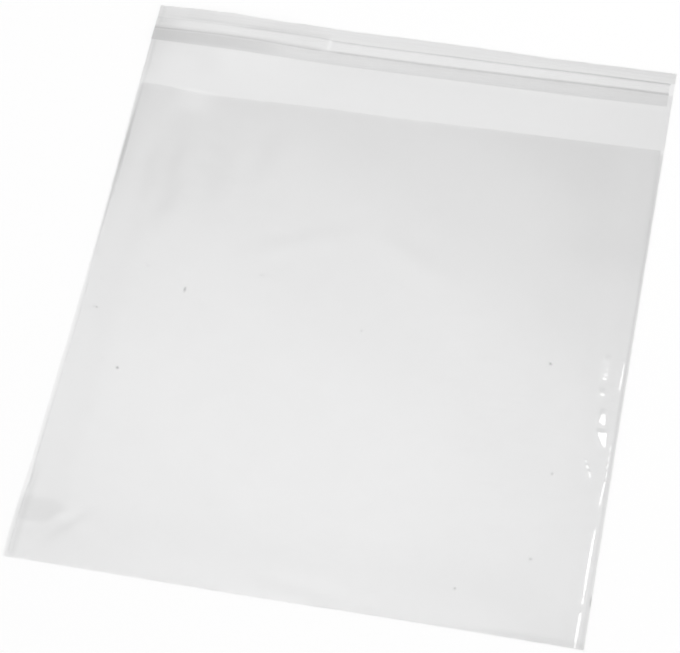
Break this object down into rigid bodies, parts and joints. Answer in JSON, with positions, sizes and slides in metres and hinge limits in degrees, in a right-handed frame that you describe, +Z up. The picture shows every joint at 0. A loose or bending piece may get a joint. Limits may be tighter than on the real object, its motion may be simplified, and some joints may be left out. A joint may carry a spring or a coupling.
{
  "type": "cellophane bag",
  "caption": "Flat clear film bag with welded sides, a folded bottom and a sticky flap under a peel-off liner, to sleeve a card, print or small product.",
  "frame": {"origin": "middle of the bag's footprint, on the surface it lies on", "axes": "+X across the width to the right weld, +Y from the bottom fold to the flap's edge, +Z up from the back ply to the front ply"},
  "size_m": [0.165, 0.195, 0.0013],
  "materials": {
    "clear_film": "clear glossy film",
    "clear_glue": "clear tacky coat",
    "liner_film": "clear satin film"
  },
  "bodies": {
    "root": {"film_bag": "clear_film", "adhesive_strip": "clear_glue", "release_liner": "liner_film"}
  },
  "joints": []
}
